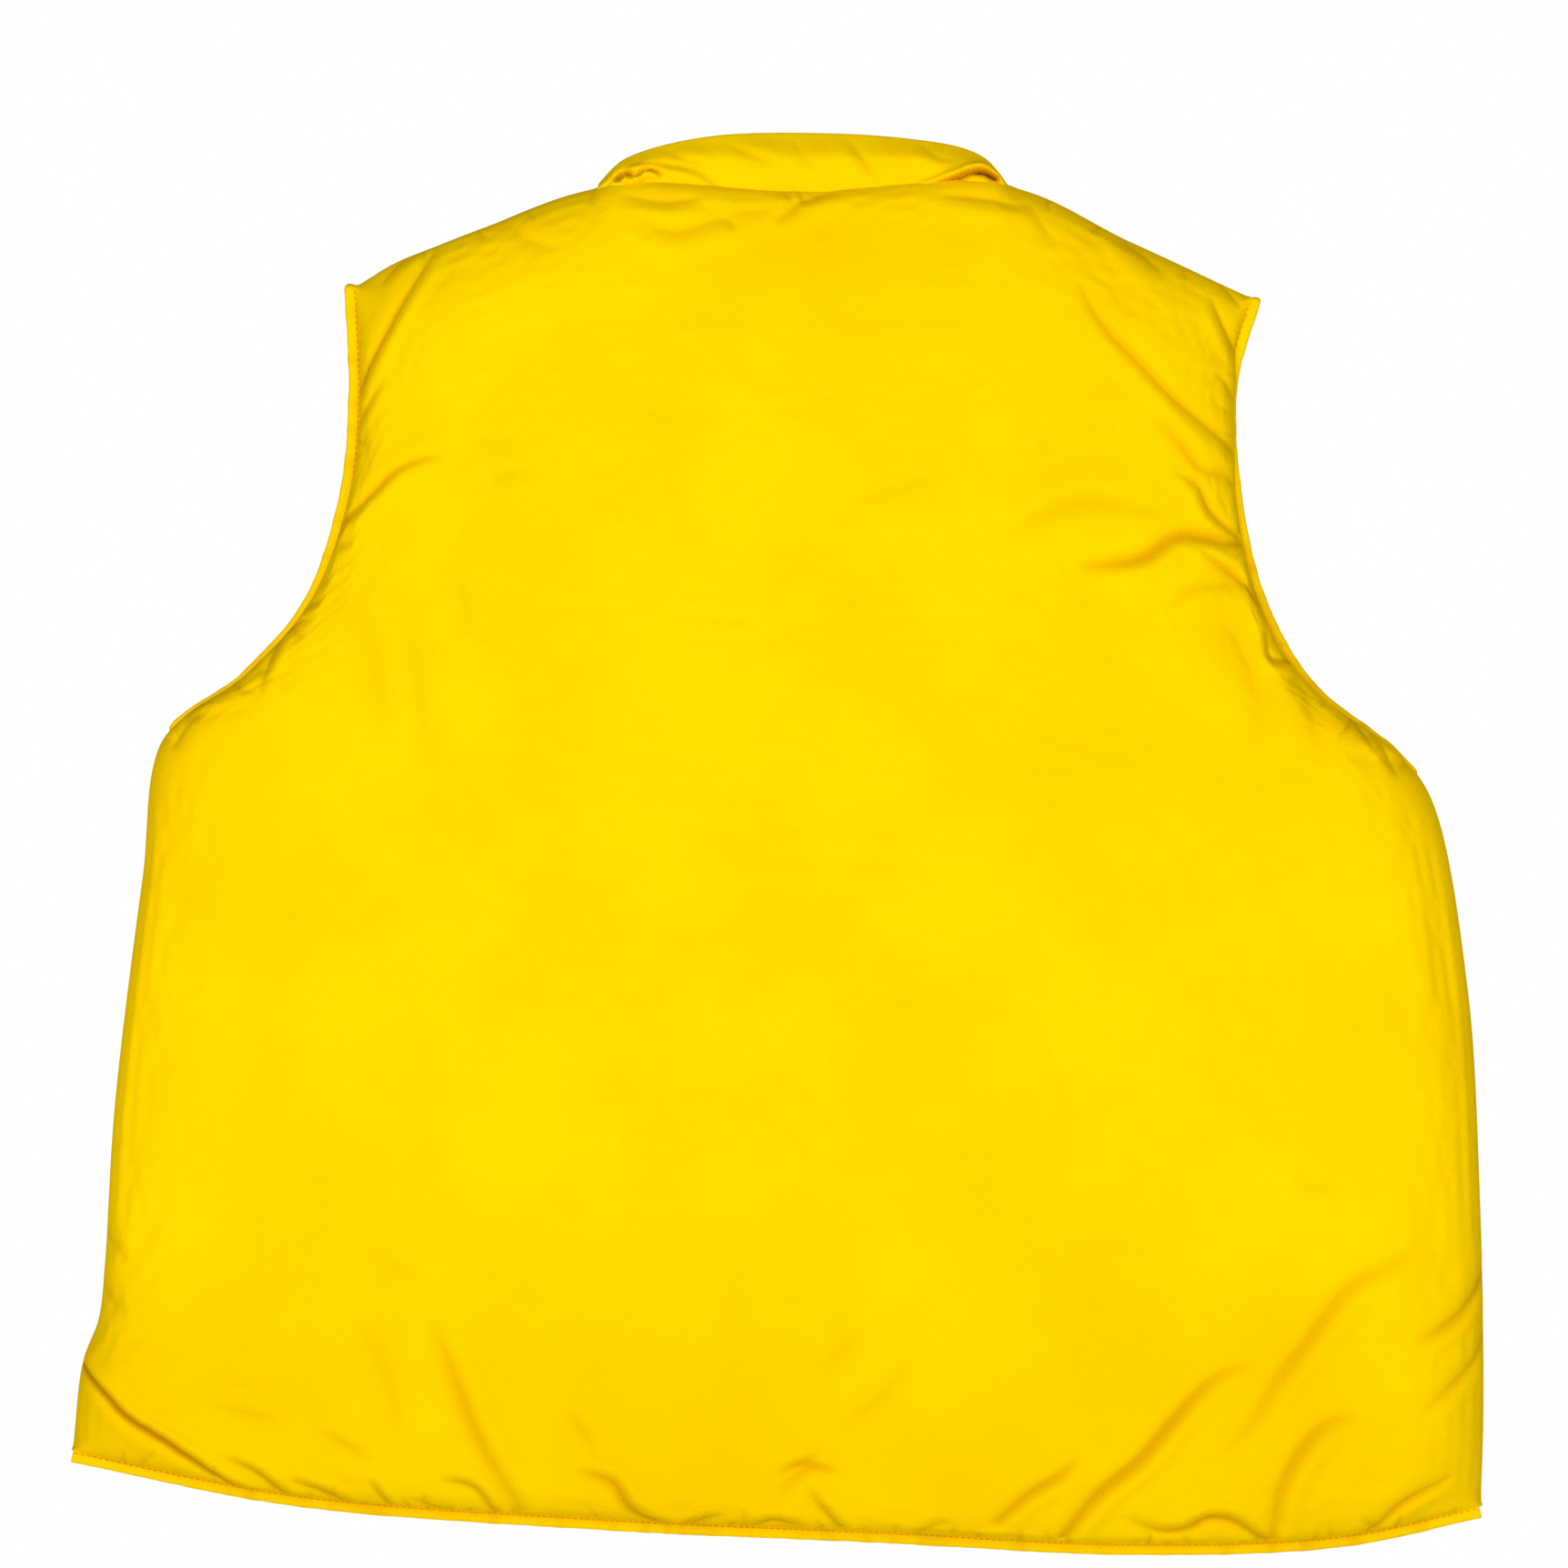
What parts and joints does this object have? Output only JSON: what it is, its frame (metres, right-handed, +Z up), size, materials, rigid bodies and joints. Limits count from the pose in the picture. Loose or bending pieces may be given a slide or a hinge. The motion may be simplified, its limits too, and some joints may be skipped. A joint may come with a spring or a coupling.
{
  "type": "inflatable life jacket",
  "caption": "Smooth puffy vest-type inflatable life jacket, laid flat, with a low collar, bound armholes and hem, a front zip, a gas inflator and an oral tube.",
  "frame": {"origin": "middle of the hang loop's inner face, at the back of the neck, in the middle plane of the flattened garment", "axes": "+Z up towards the collar, +Y towards the wearer's front, +X towards the wearer's right hand"},
  "size_m": [0.714, 0.1074, 0.7164],
  "materials": {
    "shell_nylon": "satin",
    "binding_nylon": "satin",
    "lining_nylon": "matte",
    "bladder_film": "satin",
    "collar_foam": "matte",
    "woven_tape": "matte",
    "zip_resin": "gloss",
    "zip_metal": "satin",
    "rubber": "matte",
    "black_plastic": "matte",
    "cylinder_steel": "satin",
    "red_plastic": "gloss",
    "red_webbing": "matte"
  },
  "bodies": {
    "garment": {"back_shell": "shell_nylon", "back_air_cell": "bladder_film", "back_lining": "lining_nylon", "side_left_shell": "shell_nylon", "side_left_air_cell": "bladder_film", "side_left_lining": "lining_nylon", "side_right_shell": "shell_nylon", "side_right_air_cell": "bladder_film", "side_right_lining": "lining_nylon", "armhole_binding_back_left": "binding_nylon", "armhole_binding_back_right": "binding_nylon", "armhole_binding_front_left": "binding_nylon", "armhole_binding_front_right": "binding_nylon", "side_gusset_left": "shell_nylon", "side_gusset_right": "shell_nylon", "shoulder_yoke_left": "shell_nylon", "shoulder_yoke_right": "shell_nylon", "air_duct_left": "bladder_film", "air_duct_right": "bladder_film", "collar_back_shell": "shell_nylon", "collar_back_pad": "collar_foam", "collar_back_lining": "lining_nylon", "hang_loop": "woven_tape", "hem_band_back": "binding_nylon", "hem_band_side_left": "binding_nylon", "hem_band_side_right": "binding_nylon"},
    "front_left": {"front_left_shell": "shell_nylon", "front_left_air_cell": "bladder_film", "front_left_lining": "lining_nylon", "hem_band_front_left": "binding_nylon", "collar_left_shell": "shell_nylon", "collar_left_pad": "collar_foam", "collar_left_lining": "lining_nylon", "zip_tape_left": "woven_tape", "zip_teeth_left": "zip_resin", "zip_pin": "zip_resin", "inflator_patch": "shell_nylon", "inflator_manifold": "rubber", "inflator_head": "black_plastic", "co2_cylinder": "cylinder_steel"},
    "front_right": {"front_right_shell": "shell_nylon", "front_right_air_cell": "bladder_film", "front_right_lining": "lining_nylon", "hem_band_front_right": "binding_nylon", "collar_right_shell": "shell_nylon", "collar_right_pad": "collar_foam", "collar_right_lining": "lining_nylon", "zip_tape_right": "woven_tape", "zip_teeth_right": "zip_resin", "zip_box": "zip_resin", "oral_flange": "rubber", "oral_tube": "rubber", "oral_valve_body": "black_plastic", "tube_keeper": "woven_tape"},
    "lever": {"inflator_lever": "red_plastic"},
    "handle": {"pull_strap": "red_webbing", "pull_handle": "red_plastic"},
    "slider": {"zip_slider": "zip_metal"},
    "pull": {"zip_pull": "zip_metal"},
    "plunger": {"oral_valve_plunger": "red_plastic"}
  },
  "joints": [
    {"name": "front_right_open", "type": "hinge", "parent": "garment", "child": "front_right", "pos_m": [0.212, 0.0125, -0.341], "axis": [0.2534, 0, -0.9674], "range_deg": [0, 80]},
    {"name": "front_left_open", "type": "hinge", "parent": "garment", "child": "front_left", "pos_m": [-0.223, 0.0125, -0.3265], "axis": [0.2943, 0, 0.9557], "range_deg": [0, 80]},
    {"name": "zip_travel", "type": "slide", "parent": "front_right", "child": "slider", "axis": [0, 0, -1], "range_m": [0, 0.6]},
    {"name": "zip_pull_swing", "type": "hinge", "parent": "slider", "child": "pull", "pos_m": [0, 0.01455, -0.0344], "axis": [1, 0, 0], "range_deg": [0, 150]},
    {"name": "lever_pull", "type": "hinge", "parent": "front_left", "child": "lever", "pos_m": [-0.128, 0.0535, -0.45], "axis": [0, 1, 0], "range_deg": [0, 75]},
    {"name": "handle_hang", "type": "hinge", "parent": "lever", "child": "handle", "pos_m": [-0.098, 0.0571, -0.45], "axis": [0, 1, 0], "range_deg": [-75, 75]},
    {"name": "oral_valve_press", "type": "slide", "parent": "front_right", "child": "plunger", "axis": [0, 0, -1], "range_m": [0, 0.0035]}
  ],
  "couplings": [
    {"joint": "front_left_open", "follows": "front_right_open", "ratio": 1},
    {"joint": "handle_hang", "follows": "lever_pull", "ratio": -1}
  ]
}
